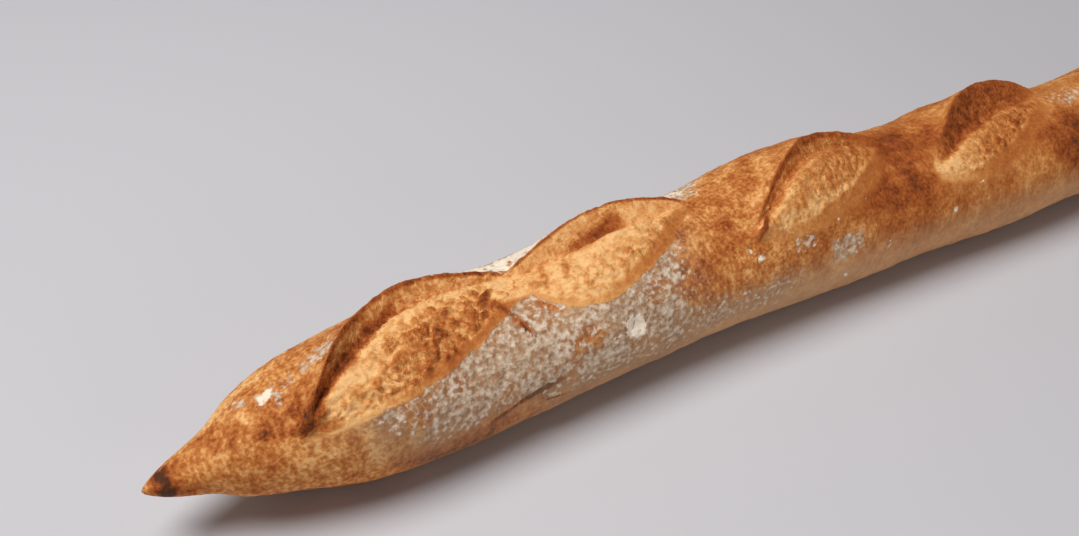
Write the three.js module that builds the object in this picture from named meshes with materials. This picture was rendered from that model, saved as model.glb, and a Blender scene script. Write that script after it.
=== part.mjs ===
// A baguette: one long loaf with five slashes along its top, each opened into a groove under a raised ear.
// Millimetres, +Z up. The loaf lies along X with its near tip at -X and rests on z = 0.
import * as THREE from 'three';
import { mergeVertices } from 'three/addons/utils/BufferGeometryUtils.js';

const { degToRad, lerp, mapLinear, smoothstep } = THREE.MathUtils;

// The plain loaf. A station is a distance from the near tip, and angles run from the top down the front.
const LENGTH = 550;
const WIDTH = 61.2;
const HEIGHT = 53;
const WIDEST_AT = 26; // height of the widest line of the section
const UNDERSIDE = 29; // depth of the round below that line, cut short by the flat base
const TAPER_LENGTH = 103; // each end narrows to its tip over this length
const TAPER_POWER = 2.1;
const TIP_ROUNDING = 2.4;
const BEND = 15.4; // the tips lie this far to the front of the middle
const TIP_RETURN = 2.8; // and turn back by this much at the very end
const TIP_DROP = 1.4; // the tips sink by this much
const SWELL_REACH = 26; // each slash swells the top over this distance
const NECKS = [
  { station: 18.5, share: 0.175, reach: 11 }, // behind the near tip
  { station: 414, share: 0.09, reach: 32 }, // between the last two slashes
];
const HUMPS = [
  { station: 80, angle: -32, rise: -2, reach: 12 }, // dip behind the first ear
  { station: 142, angle: -9, rise: -3.6, reach: 26 }, // hollow between the first two slashes
  { station: 225, angle: -24, rise: -1.2, reach: 12 }, // dip after the second slash
  { station: 251, angle: -28, rise: 4.3, reach: 27 }, // shoulder behind the third slash
  { station: 46, angle: -42, rise: 1, reach: 13 }, // fuller back of the near end
  { station: 350, angle: -36, rise: 2, reach: 11 }, // and behind the fourth ear
  { station: 47, angle: 138, rise: -2.3, reach: 14.5 }, // hollows and bulges low on the front
  { station: 106, angle: 138, rise: 0.6, reach: 20 },
  { station: 217, angle: 138, rise: -1.4, reach: 25 },
  { station: 321, angle: 138, rise: -0.9, reach: 23.5 },
];
// Fold low on the front flank: a short drop at its edge, then a slow way back below it.
const CREASE = { start: [111, 101], end: [147, 84], depth: 2.4, edge: 0.9, reach: 7 };
const WAVE = 0.5; // slow unevenness of the hand-rolled surface

// Slashes, from start to end as [station, degrees of the ear, degrees of the border]. Between the ends the
// ear bows back and the front border of the bared crumb bows to the front. A skew moves a bow, or the height
// of the ear, towards the end. The wall falls from the ear to its foot, which lies at a height of its own.
// Both are at their full height after a share of the way.
const SLASHES = [
  {
    start: [49, 56, 56], end: [140, -15, 8.5], swell: -0.02,
    back: 22, backSkew: -0.36, front: 9.8, frontSkew: 0.29,
    ear: 7.3, earSkew: -0.45, wall: 7, foot: -1.8, full: 0.05, crown: 2.4,
  },
  {
    start: [140, -15, 8.5], end: [218, -6.5, -2.5], swell: 0.09,
    back: 6.3, backSkew: 0.5, front: 20.6, frontSkew: -0.5,
    ear: 6.7, earSkew: -0.1, wall: 10.5, foot: -2.6, full: 0.05, crown: 2.6,
  },
  {
    start: [231, 39.5, 39.5], end: [311.5, 7.5, 7.5], swell: 0.13,
    back: 17.3, backSkew: 0.26, front: 14.5, frontSkew: 0.06,
    ear: 6, earSkew: 0.39, wall: 6, foot: -0.5, full: 0.15, crown: 4.5,
  },
  {
    start: [322.5, 40, 40], end: [403, -12.5, 3.5], swell: -0.04,
    back: 16.3, backSkew: 0, front: 15.4, frontSkew: -0.18,
    ear: 9.3, earSkew: 0.26, wall: 11.5, foot: -2.8, full: 0.35, crown: 1,
  },
  {
    start: [415, 42, 42], end: [495, 4, 6], swell: 0.04,
    back: 17, backSkew: 0.1, front: 14.5, frontSkew: 0,
    ear: 8.5, earSkew: 0.2, wall: 8, foot: -2, full: 0.25, crown: 2.4,
  },
];
const EAR = 1; // places of the two angles in an end
const BORDER = 2;
const GIRTH_RADIUS = 30; // turns an angle into a distance across a slash
const OPENING_POWER = 0.8; // how bluntly a slash closes at its ends
const RELIEF_POWER = 0.75; // how bluntly ear and crumb fade there
const EAR_SLOPE = 7.5; // the crust behind an ear falls away over this distance
const EAR_LEAN = 1.6; // the lip of an ear leans this far over its groove
const LEAN_REACH = 3;
const WALL_POWER = 1.25; // hollowness of the wall
const WALL_SHARE = 0.4; // the wall takes up no more than this share of an open slash
const CREST = 4.5; // the crumb rises from the foot of the wall to its crest over this distance
const CREST_SHARE = 0.4; // and over no more than this share of the crumb
const CREST_FALL = 1.3; // roundness of its fall from there to the border
const RIM = 0.3; // low ridge along the front border
const RIM_REACH = 3;

// Mesh of the solid. Its columns follow the slashes: from underneath to the border, the foot of the wall and
// the ear, and round the back.
const STATIONS = 126;
const COLUMNS = { flank: 11, crumb: 10, wall: 4, nape: 5, back: 10 };
const NAPE = 13; // width of the finer strip behind an ear
const LEAST_CRUMB = 10; // width of these strips where no slash is open
const LEAST_WALL = 4;
const SMOOTHING = 5; // the columns turn from one slash to the next over about this distance

function bell(distance, reach) {
  return Math.exp(-((distance / reach) ** 2));
}

// A point between start and end, as shares of the way: -1 at the start, 1 at the end.
function positionOn({ start, end }, station) {
  return mapLinear(station, start[0], end[0], -1, 1);
}

// Distance round the girth from the top to the line between start and end.
function lineOn({ start, end }, station, angle = EAR) {
  return GIRTH_RADIUS * degToRad(mapLinear(station, start[0], end[0], start[angle], end[angle]));
}

// The slash that is open at a station, with the girth distances of its ear, wall foot and border.
function cutAt(station) {
  const slash = SLASHES.find(({ start, end }) => station > start[0] && station < end[0]);
  if (!slash) return null;
  const position = positionOn(slash, station);
  const opening = (1 - position ** 2) ** OPENING_POWER;
  const strength = opening ** RELIEF_POWER;
  const risen = smoothstep((position + 1) / 2, 0, slash.full);
  const ear = lineOn(slash, station) - slash.back * opening * (1 + slash.backSkew * position);
  const border = lineOn(slash, station, BORDER) + slash.front * opening * (1 + slash.frontSkew * position);
  return {
    ear,
    border,
    foot: ear + Math.min(slash.wall * strength, WALL_SHARE * (border - ear)),
    strength,
    height: risen * slash.ear * (1 + slash.earSkew * position),
    low: risen * slash.foot,
    crown: slash.crown,
  };
}

// Rise above the plain loaf that an open slash gives at a girth distance.
function cutRise({ ear, foot, border, height, low, crown, strength }, girth) {
  let rise = RIM * bell(girth - border, RIM_REACH);
  if (girth < ear) {
    rise += height * Math.exp((girth - ear) / EAR_SLOPE);
  } else if (girth < foot) {
    rise += lerp(height, low, 1 - ((foot - girth) / (foot - ear)) ** WALL_POWER);
  } else if (girth < border) {
    const crest = Math.min(CREST, CREST_SHARE * (border - foot));
    const belowCrest = Math.max(0, 1 - (girth - foot) / crest) ** 2;
    const pastCrest = Math.min(1, (border - girth) / (border - foot - crest)) ** CREST_FALL;
    rise += lerp(crown * pastCrest, low, belowCrest);
  }
  return strength * rise;
}

// Rise of the fold low on the front flank.
function creaseRise(station, girth) {
  const fade = Math.max(0, 1 - positionOn(CREASE, station) ** 2);
  const below = girth - lineOn(CREASE, station);
  return -CREASE.depth * fade * (below < 0 ? bell(below, CREASE.edge) : Math.exp(-below / CREASE.reach));
}

// Centre, half width and heights of the plain section at a station.
function sectionAt(station) {
  const fromTip = Math.min(station, LENGTH - station);
  const rounded = Math.sqrt(fromTip * (fromTip + 2 * TIP_ROUNDING));
  const narrowing = Math.max(0, 1 - rounded / TAPER_LENGTH);
  let size = 1 - narrowing ** TAPER_POWER;
  for (const neck of NECKS) size *= 1 - neck.share * bell(station - neck.station, neck.reach);
  let top = size;
  for (const { start, end, swell } of SLASHES) {
    top *= 1 + swell * bell(station - (start[0] + end[0]) / 2, SWELL_REACH);
  }
  const offMiddle = mapLinear(station, 0, LENGTH, -1, 1);
  return {
    size,
    y: TIP_RETURN * narrowing ** 2 - BEND * offMiddle ** 2,
    z: WIDEST_AT - TIP_DROP * narrowing ** 2,
    half: (WIDTH / 2) * size,
    above: (HEIGHT - WIDEST_AT) * top,
    below: UNDERSIDE * size,
  };
}

// A point of the finished surface, from its station and its distance round the girth.
function surfacePoint(station, girth) {
  const angle = girth / GIRTH_RADIUS;
  const section = sectionAt(station);
  const reach = Math.cos(angle) > 0 ? section.above : section.below;
  const normal = new THREE.Vector2(-reach * Math.sin(angle), section.half * Math.cos(angle)).normalize();
  const cut = cutAt(station);
  let rise = WAVE * section.size * Math.sin(station / 19 + 2 * angle) * Math.cos(station / 43);
  for (const hump of HUMPS) {
    const aside = girth - GIRTH_RADIUS * degToRad(hump.angle);
    rise += hump.rise * bell(Math.hypot(station - hump.station, aside), hump.reach);
  }
  rise += creaseRise(station, girth);
  let lean = 0;
  if (cut) {
    rise += cutRise(cut, girth);
    lean = EAR_LEAN * cut.strength * bell(girth - cut.ear, LEAN_REACH);
  }
  const y = section.y - section.half * Math.sin(angle) + rise * normal.x - lean * normal.y;
  const z = section.z + reach * Math.cos(angle) + rise * normal.y + lean * normal.x;
  return new THREE.Vector3(station - LENGTH / 2, y, Math.max(0, z));
}

// Part of the outline of one section, between two girth distances.
class Outline extends THREE.Curve {
  constructor(station, from, to) {
    super();
    Object.assign(this, { station, from, to });
  }

  getPoint(share) {
    return surfacePoint(this.station, lerp(this.from, this.to, share));
  }
}

// Girth distance of a slash line at a station. Between slashes it leads from one to the next.
function slashLine(name, station) {
  const cut = cutAt(station);
  if (cut) return cut[name];
  const angle = name === 'border' ? BORDER : EAR;
  const before = SLASHES.findLast(({ end }) => end[0] <= station);
  const after = SLASHES.find(({ start }) => start[0] >= station);
  const start = before ? before.end : after.start;
  const end = after ? after.start : before.end;
  if (start[0] === end[0]) return GIRTH_RADIUS * degToRad(end[angle]);
  return lineOn({ start, end }, station, angle);
}

// The same line evened out, for the mesh columns to follow.
function meshLine(name, station) {
  let sum = 0;
  for (let k = -SMOOTHING; k <= SMOOTHING; k += 1) sum += slashLine(name, station + k);
  return sum / (2 * SMOOTHING + 1);
}

// The closed ring of mesh points at a station, from underneath up the front, over the top and down the back.
function ringAt(station) {
  const under = Math.PI * GIRTH_RADIUS;
  const foot = meshLine('foot', station);
  const border = Math.max(meshLine('border', station), foot + LEAST_CRUMB);
  const ear = Math.min(meshLine('ear', station), foot - LEAST_WALL);
  const bounds = [under, border, foot, ear, ear - NAPE, -under];
  const ring = [];
  Object.values(COLUMNS).forEach((count, k) => {
    const strip = new Outline(station, bounds[k], bounds[k + 1]);
    ring.push(...strip.getSpacedPoints(count).slice(0, count));
  });
  ring.push(ring[0]);
  return ring;
}

// A sphere is drawn out into the loaf: its rings become the sections, from the near tip to the far one.
const around = Object.values(COLUMNS).reduce((sum, count) => sum + count);
const loaf = new THREE.SphereGeometry(1, around, STATIONS);
const corners = loaf.getAttribute('position');
for (let row = 0; row <= STATIONS; row += 1) {
  const even = row / STATIONS;
  const crowded = (1 - Math.cos(Math.PI * even)) / 2; // closer together at the tips
  const ring = ringAt(LENGTH * (0.75 * even + 0.25 * crowded));
  ring.forEach((point, column) => corners.setXYZ(row * (around + 1) + column, point.x, point.y, point.z));
}
loaf.deleteAttribute('normal');
loaf.deleteAttribute('uv');
const solid = mergeVertices(loaf, 1e-3);

// The origin is the middle of the bounding box at its bottom.
solid.computeBoundingBox();
const box = solid.boundingBox;
solid.translate(-(box.min.x + box.max.x) / 2, -(box.min.y + box.max.y) / 2, -box.min.z);
solid.computeVertexNormals();

const crust = new THREE.MeshStandardMaterial({ color: 0xb4743a, roughness: 0.85, metalness: 0 });
crust.name = 'crust';
const baguette = new THREE.Mesh(solid, crust);
baguette.name = 'baguette';

const group = new THREE.Group();
group.name = 'root';
group.add(baguette);

export default group;
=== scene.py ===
"""Looks of the baguette: a finely meshed loaf with crust, torn crumb and flour."""

import math
from types import SimpleNamespace

import bpy
import numpy as np
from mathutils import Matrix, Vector, noise


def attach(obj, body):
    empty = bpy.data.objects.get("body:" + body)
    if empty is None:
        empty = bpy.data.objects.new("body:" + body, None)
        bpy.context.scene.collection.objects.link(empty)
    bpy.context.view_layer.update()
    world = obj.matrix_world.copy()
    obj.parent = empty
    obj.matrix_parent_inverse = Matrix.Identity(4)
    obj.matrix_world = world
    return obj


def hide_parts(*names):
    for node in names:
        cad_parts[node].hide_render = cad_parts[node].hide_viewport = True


# The loaf in millimetres, as in the part's source. A station is a distance from the near tip, and angles
# and girth distances run from the top down the front.
LENGTH = 550
WIDTH = 61.2
HEIGHT = 53
WIDEST_AT = 26  # height of the widest line of the section
UNDERSIDE = 29  # depth of the round below that line, cut short by the flat base
TAPER_LENGTH = 103  # each end narrows to its tip over this length
TAPER_POWER = 2.1
TIP_ROUNDING = 2.4
BEND = 15.4  # the tips lie this far to the front of the middle
TIP_RETURN = 2.8  # and turn back by this much at the very end
TIP_DROP = 1.4  # the tips sink by this much
SWELL_REACH = 26  # each slash swells the top over this distance
NECKS = [
    dict(station=18.5, share=0.175, reach=11),  # behind the near tip
    dict(station=414, share=0.09, reach=32),  # between the last two slashes
]
HUMPS = [
    dict(station=80, angle=-32, rise=-2, reach=12),  # dip behind the first ear
    dict(station=142, angle=-9, rise=-3.6, reach=26),  # hollow between the first two slashes
    dict(station=225, angle=-24, rise=-1.2, reach=12),  # dip after the second slash
    dict(station=251, angle=-28, rise=4.3, reach=27),  # shoulder behind the third slash
    dict(station=46, angle=-42, rise=1, reach=13),  # fuller back of the near end
    dict(station=350, angle=-36, rise=2, reach=11),  # and behind the fourth ear
    dict(station=47, angle=138, rise=-2.3, reach=14.5),  # hollows and bulges low on the front
    dict(station=106, angle=138, rise=0.6, reach=20),
    dict(station=217, angle=138, rise=-1.4, reach=25),
    dict(station=321, angle=138, rise=-0.9, reach=23.5),
]
# Fold low on the front flank: a short drop at its edge, then a slow way back below it.
CREASE = dict(start=(111, 101), end=(147, 84), depth=2.4, edge=0.9, reach=7)
WAVE = dict(height=0.5, length=19, slow_length=43)  # slow unevenness of the hand-rolled surface

# Slashes. start and end are a station with the degrees of ear and border there. Between them the ear
# bows back and the border of the bared crumb bows to the front. A skew moves a bow, or the height of
# the ear, towards the end. wall is the width of the wall below the ear, and foot the height at its foot.
# Both heights are full after a share of the way. crown is the height of the crumb, and swell the share
# by which the top of the loaf grows.
SLASHES = [
    dict(
        start=(49, 56, 56), end=(140, -15, 8.5), swell=-0.02,
        back=22, back_skew=-0.36, front=9.8, front_skew=0.29,
        ear=7.3, ear_skew=-0.45, wall=7, foot=-1.8, full=0.05, crown=2.4,
    ),
    dict(
        start=(140, -15, 8.5), end=(218, -6.5, -2.5), swell=0.09,
        back=6.3, back_skew=0.5, front=20.6, front_skew=-0.5,
        ear=6.7, ear_skew=-0.1, wall=10.5, foot=-2.6, full=0.05, crown=2.6,
    ),
    dict(
        start=(231, 39.5, 39.5), end=(311.5, 7.5, 7.5), swell=0.13,
        back=17.3, back_skew=0.26, front=14.5, front_skew=0.06,
        ear=6, ear_skew=0.39, wall=6, foot=-0.5, full=0.15, crown=4.5,
    ),
    dict(
        start=(322.5, 40, 40), end=(403, -12.5, 3.5), swell=-0.04,
        back=16.3, back_skew=0, front=15.4, front_skew=-0.18,
        ear=9.3, ear_skew=0.26, wall=11.5, foot=-2.8, full=0.35, crown=1,
    ),
    dict(
        start=(415, 42, 42), end=(495, 4, 6), swell=0.04,
        back=17, back_skew=0.1, front=14.5, front_skew=0,
        ear=8.5, ear_skew=0.2, wall=8, foot=-2, full=0.25, crown=2.4,
    ),
]
EAR = 1  # places of the two angles in an end
BORDER = 2
GIRTH_RADIUS = 30  # turns an angle into a girth distance
OPENING_POWER = 0.8  # how bluntly a slash closes at its ends
RELIEF_POWER = 0.75  # how bluntly ear and crumb fade there
EAR_SLOPE = 7.5  # the crust behind an ear falls away over this distance
EAR_LEAN = 1.6  # the lip of an ear leans this far over its groove
LEAN_REACH = 3
WALL_POWER = 1.25  # hollowness of the wall
WALL_SHARE = 0.4  # the wall takes up no more than this share of an open slash
CREST = 4.5  # the crumb rises from the foot of the wall to its crest over this distance
CREST_SHARE = 0.4  # and over no more than this share of the crumb
CREST_FALL = 1.3  # roundness of its fall from there to the border
RIM = 0.3  # low ridge along the front border
RIM_REACH = 3
LEAST_GAP = 0.01  # stands in for the width of a closed slash
TINY = 1e-6  # keeps divisions from failing

# Mesh of the visual loaf. Its columns follow the slashes: from underneath to the border, the foot of
# the wall and the ear, and round the back. A spacing under 1 crowds the columns at the end of their
# strip, and one over 1 at its start.
STATIONS = 760
CROWDING = 0.12  # how much the stations crowd towards the tips
TIP_GAP = 0.02  # the first and last sections stand this far from the tips
COLUMNS = dict(base=8, flank=32, crumb=46, wall=12, nape=10, back=20)
SPACING = dict(base=1, flank=1, crumb=1, wall=0.65, nape=1.5, back=1)
BASE_EDGE = 62  # girth distance where the coarser strip underneath begins
NAPE = 13  # width of the finer strip behind an ear
LEAST_CRUMB = 10  # width of these strips where no slash is open
LEAST_WALL = 4
SMOOTHING = 5  # the columns turn from one slash to the next over about this distance
FINE_STEPS = 60  # for measuring the length of a strip

# Noise over the whole loaf: size in millimetres, octaves and seed.
LUMPS = dict(size=11, octaves=3, seed=1)
GRAIN = dict(size=3.2, octaves=3, seed=2)
WANDER = dict(size=9, octaves=3, seed=4)
WARP = dict(size=7, octaves=2, seed=5)
PATCHINESS = dict(size=16, octaves=2, seed=6)
CLUMPS = dict(size=3.2, octaves=2, seed=8)
CLOUD_NOISE = (0.8, 2.0)  # falloff and step from octave to octave
SEED_STEP = 17.3
# Noise along the edges of the slashes.
RAGGED_EAR = dict(amount=0.5, size=9, seed=1)
RAGGED_BORDER = dict(amount=1.2, size=6, seed=2)
RAGGED_HEIGHT = dict(amount=0.06, size=7, seed=3)  # as a share of the ear's height
EDGE_NOISE = (0.8, 2.0, 3)
EDGE_SEED_STEP = 3.1
EDGE_SLICE = 0.7  # where a line or plane is cut through the noise
# Torn strands and bubbles of the crumb.
STRAND_NOISE = (0.9, 2.1, 4, 0.9, 1.6)  # falloff, step, octaves, offset and gain
STRAND_SLICE = 3.7
PIT_NOISE = (0.9, 2.0, 2)
PIT_SLICE = 8.3
PIT_SIZE = (3.4, 2.6)  # along the loaf and round it
PIT_EDGE = (0.1, 0.45)  # noise at the edge and at the bottom of a bubble

# Heights in millimetres of the fine relief, and where it fades.
LUMPS_RISE = 0.3
GRAIN_RISE = 0.16
CRUMB_GRAIN_RISE = 0.3
WARP_REACH = 2.5  # how far strands, tears and streaks are bent
WANDER_REACH = 2.2  # how far the tones inside a slash wander
WANDER_FADE = dict(border=8, ear=5)  # less so within these distances
FOOT_RELIEF = dict(least=0.5, between=(0.1, 0.5))  # less relief near the wall, by share of the crumb
WALL_CALMING = 0.6  # share of the crumb's relief that its wall lacks
TIP_CALMING = (0.05, 0.4)  # the relief fades in between these sizes of the section

# Where a slash shows its parts.
OPENS = (0.08, 0.4)  # strength of a slash over which its crumb begins to show
EAR_EDGE = 0.4  # half the width over which crust turns into wall at an ear
WALL_EDGE = (2.2, -0.8)  # the wall turns into crumb between these distances past its foot
LIP_EDGE = 0.8  # the lip begins over this distance behind the ear
LIP_END = (1.3, 0.5)  # and ends between these shares of its width
LEAST_SHOWN = 0.5  # stands in for the width of a wall or crumb that is narrower
BAND_START = 0.5  # share of its width that the band has at the start of a slash
BAND_EDGE = 1  # half the width over which its tone fades
BAND_RELIEF = 2  # and over which the relief of the crumb fades into it
BAND_CALMING = 0.6  # share of the fine texture that it lacks

# What each slash shows. Tones run from 0, pale, to 1, burnt. Most pairs are for the start and the end of
# a slash, and change from one to the other between the two shares of the way in turn.
# crest and front: tones of the crumb, at the wall and at the border.
# ridge: how much paler the line of the crest is.
# band and band_width: tone added along the border, and how wide.
# rim: distance from the border of a pale line, which is a painted highlight, and how much paler it is.
# lip: width of the dark band below the ear, partly its burnt edge and partly painted shade.
# wall, wall_from and groove: tones of the wall, which change later, the share of the way where the wall
# begins to show, and how much painted shade darkens its foot at the start.
# soft and fade: width over which the border fades, and share of the way over which the end fades.
# torn: strength of the fine texture.
# pits, strands and strand_size: depth of torn bubbles, height of torn strands, and the distance between
# strands along the loaf and round it.
CRUMBS = [
    dict(
        crest=(0, 0.32), front=(0.04, 0.54), turn=(0.1, 0.6), ridge=0.24,
        band=(0, 0), band_width=4, rim=(0, 0.15),
        lip=1.2, wall=(0.35, 0.24), wall_from=0, groove=0.3, soft=(4, 0.8), fade=0.02,
        torn=1, pits=(0, 0.5), strands=(0.8, 1.6), strand_size=(4.4, 3.4),
    ),
    dict(
        crest=(0.04, 0.14), front=(0.08, 0.3), turn=(0.2, 0.8), ridge=0.06,
        band=(0.14, 0.2), band_width=6, rim=(0, 0.1),
        lip=0.8, wall=(0.18, 0.16), wall_from=0, groove=0.05, soft=(0.8, 1.5), fade=0.05,
        torn=0.8, pits=(0.4, 0.4), strands=(0.8, 0.8), strand_size=(4, 4),
    ),
    dict(
        crest=(0.24, 0.46), front=(0.1, 0.37), turn=(0.1, 0.8), ridge=0,
        band=(0.18, 0.13), band_width=8, rim=(8.5, 0.16),
        lip=1.7, wall=(0.36, 0.38), wall_from=0.12, groove=0.15, soft=(2.5, 6), fade=0.22,
        torn=0.8, pits=(0.1, 0.2), strands=(1, 1), strand_size=(2.2, 9),
    ),
    dict(
        crest=(0.1, 0.49), front=(0.11, 0.54), turn=(0.1, 0.5), ridge=0.08,
        band=(0.1, 0), band_width=7, rim=(7.5, 0.08),
        lip=2.5, wall=(0.74, 0.7), wall_from=0.14, groove=0, soft=(4, 3.5), fade=0.15,
        torn=0.8, pits=(0, 0.5), strands=(0.6, 0.9), strand_size=(3, 4),
    ),
    dict(
        crest=(0.16, 0.4), front=(0.22, 0.46), turn=(0.1, 0.7), ridge=0.12,
        band=(0.1, 0.06), band_width=7, rim=(7.5, 0.1),
        lip=2, wall=(0.6, 0.5), wall_from=0.15, groove=0.1, soft=(2.5, 2.5), fade=0.1,
        torn=0.8, pits=(0.2, 0.6), strands=(1, 1.2), strand_size=(4, 6),
    ),
]
CREST_TO_FRONT = (0.2, 0.85)  # shares of the crumb between which its tone turns
RIDGE = 2.6  # half the width of the pale ridge along a crest
RIM_HIGHLIGHT_LINE = 1.2  # half the width of the painted highlight along a rim
DEPTH_SHADE_TONE = 0.28  # tone added by each millimetre of depth, as painted shade in the crumb's hollows and painted light on its raised parts
DEEPEST = 1  # up to this depth or height
WALL_TURN = (0.4, 0.65)  # shares of the way between which the tones of a wall change
WALL_GRAIN_TONE = 0.14
WALL_STARTS = (-0.1, 0.05)  # a wall appears between these shares of the way past wall_from
GROOVE_SHADE = (0.45, 1.0)  # shares of the way down the wall between which painted shade darkens its foot
LIP_BURN_AND_SHADE_TONE = 0.72  # dark band along each ear: partly its burnt edge, partly painted shade under the lip
# Bared crumb that joins the first two slashes.
BRIDGE = dict(at=(141, 0), size=(14, 9), edge=(0.25, 0.5), tone=0.12)

# Tears and folds, from start to end as station and girth distance. The dark tone of the fold and of the
# crack at the start of the third slash is painted shade.
TEARS_WITH_PAINTED_SHADE = [
    dict(start=(49, 25), end=(61, 16), width=2.4, depth=1.4, tone=0.88),
    dict(start=(46, 24.5), end=(60, 20.5), width=2, depth=1, tone=0.85),
    dict(start=(128.5, 9), end=(136, 28), width=1.5, depth=1, tone=0.88),
    dict(start=(141, 12), end=(150, 23), width=1.4, depth=0.8, tone=0.6),
    # crack at the start of the third slash: its dark tone is a painted shadow line under the ear
    dict(start=(232, 24), end=(245, 13), width=0.8, depth=1.2, tone=0.8),
    dict(start=(24, -3), end=(25, 21), width=0.9, depth=0.4, tone=0.62),
    dict(start=(31, 10), end=(28, 30), width=0.9, depth=0.4, tone=0.62),
    # the fold: its dark tone is painted shade under its edge
    dict(start=(110, 54.2), end=(148, 45.4), width=1.6, depth=0.5, tone=0.92),
    dict(start=(132, 53), end=(147, 55), width=1, depth=0.5, tone=0.75),
]
# Darker streaks in the first two slashes: the two along the feet of the walls are painted shade in their
# grooves, the others browned crumb.
SCORCHES_AND_GROOVE_SHADE = [
    dict(start=(48, 26), end=(64, 26.5), width=3.2, tone=0.5),
    # painted shade in the groove at the foot of the first wall
    dict(start=(52, 19), end=(96, -8), width=3, tone=0.84),
    # painted shade in the groove at the foot of the second wall
    dict(start=(190, -7), end=(161, 0), width=4.2, tone=0.76),
    dict(start=(153, -6), end=(147, 11), width=1.2, tone=0.42),
    dict(start=(160, 0), end=(155, 10), width=1.4, tone=0.46),
]
STREAK_ENDS = 0.3  # share of its width that a tear or streak keeps at its ends
TEAR_WARP = 0.4  # shares of warp and grain that bend the tears
TEAR_GRAIN = 0.6
DARK_STREAK_WARP = (0.5, 0.3)  # shares of the warp that bend the streaks, along the loaf and round it
EDGE_POWER = 3  # how steeply tears, streaks and spots end

# Darker and paler areas of the crust, by how much they change its tone. Most are baked colour; one is a
# painted highlight and one painted shade.
CRUST_TONE = 0.44
LUMPS_TONE = 0.1
BAKED_SHADED_AND_LIT = [
    dict(at=(6.5, 24), size=(3, 70), change=0.5),
    dict(at=(13, 42), size=(14, 16), change=0.14),
    dict(at=(54, 6), size=(9, 6), change=0.12),
    dict(at=(44, 20), size=(9, 5), change=0.24),
    dict(at=(58, 40), size=(28, 11), change=-0.15),
    # painted highlight: the top edge of the near end made paler where it catches the light
    dict(at=(38, -17), size=(34, 9), change=-0.26),
    # painted shade low on the front flank, where it nears the floor
    dict(at=(106, 61), size=(24, 9), change=0.34),
    dict(at=(125, -16), size=(22, 6), change=0.16),
    dict(at=(203, 31), size=(14, 10), change=0.2),
    dict(at=(216, -12), size=(12, 10), change=-0.22),
    dict(at=(303, 22), size=(26, 17), change=0.34),
    dict(at=(320, 2), size=(18, 11), change=0.34),
    dict(at=(402, 23), size=(20, 14), change=0.4),
    dict(at=(500, 24), size=(20, 14), change=0.24),
    dict(at=(543, 20), size=(4, 60), change=0.4),
]
# Paler low sides: where they begin on the front and the back, the stations between which the front's
# grows from its least share, and those between which a part is lost.
PALE = dict(front=(36, 54), back=(-58, -80), first=(68, 120), least=0.05, far=(240, 330), loss=0.25)
PALE_LOSS_IN_TEARS = 0.8
CALM_CRUST = dict(far=(220, 300), loss=0.4)  # the far crust is less mottled
# Below the fold the flank is darker, as painted shade near the floor, and has less flour.
BROWN_AND_SHADED_PLACE = dict(at=(114, 59), size=(34, 11), share=0.75)

# Flour: the dusted flank, whose near end slopes, a thinner band after it, the dusted back, and single
# patches and crumbs of flour. A share of 1 is as thick as the dusted flank.
FLOURED = dict(first=(56, 92), slope=0.9, slope_from=30, last=(186, 218), low=(42, 64))
FLOUR_EDGE = dict(border=(-1, 0.3), top=(4, 10))  # past a slash's border and past the top
FILM_AND_SHADE_SPREAD = (14, 12)  # a thin darker dusting reaches this much further, along the loaf and down, partly as painted shade on the low flank
FLOUR_BAND = dict(first=(186, 206), last=(236, 270), at=47.5, reach=8, share=0.75)
FLOUR_BACK = dict(first=(80, 140), last=(200, 420), top=(-15, -27), low=(-74, -44), share=0.9)
FLOUR_GAP = dict(at=(154.5, 34.5), size=(10, 5), share=0.7)  # where the crust shows through
UNEVEN_FLOUR = dict(least=0.55, between=(-0.5, 0.3))
FLOUR_PATCHES = [
    dict(at=(44, 2.1), size=(3, 2.2), share=4),
    dict(at=(48, 6.8), size=(1.5, 1.5), share=4),
    dict(at=(49, 1.6), size=(7, 4.5), share=0.5),
    dict(at=(34, -5.8), size=(2.6, 2.4), share=1),
    dict(at=(37, -2.1), size=(2.4, 2), share=1),
    dict(at=(60, 0), size=(4, 3), share=1.2),
    dict(at=(66, -0.5), size=(4.5, 3.5), share=1.2),
    dict(at=(147, 19.5), size=(6, 2.5), share=2),
    dict(at=(174, 37.2), size=(3.8, 3.2), share=12),
    dict(at=(166, 38.2), size=(2.4, 1.2), share=4),
    dict(at=(253, 29.3), size=(6, 5), share=0.6),
    dict(at=(272, 38.5), size=(9, 6), share=1.1),
    dict(at=(146, -18), size=(30, 14), share=3),
    dict(at=(214, -20), size=(15, 10), share=2.8),
    dict(at=(416, 3), size=(13, 6), share=0.65),
    dict(at=(452, 37), size=(10, 6), share=1),
    dict(at=(500, -6), size=(6, 5), share=1),
]
RAGGED_PATCH = 0.3  # wandering of a patch's edge, in sizes of the patch
FLOUR_CRUMBS = [
    (229, 25.7), (232, 29.8), (251, 46.6), (270, 26.2), (275, 53.9),
    (286, 21.5), (295, 45), (329, 39.3), (344, 29.8),
]
FLOUR_CRUMB = dict(size=(1.1, 1.1), share=4)
FLOUR_GRAIN = 0.9  # how far the grain moves the edges of the flour
GRAIN_ROLL = 7  # columns between the grain used along the loaf and round it
BARE = (0.4, 0.6)  # flour ends where the crumb shows by these shares
CLUMP_EDGE = (-0.5, 0.5)  # noise between which flour clumps
CLUMP_RISE = 0.4
FLOUR_LUMP = dict(at=(174, 37.2), size=(3.4, 2.8), rise=1.2)
THICK = (1, 3.2)  # shares between which the flour begins to hide the crust

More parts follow.
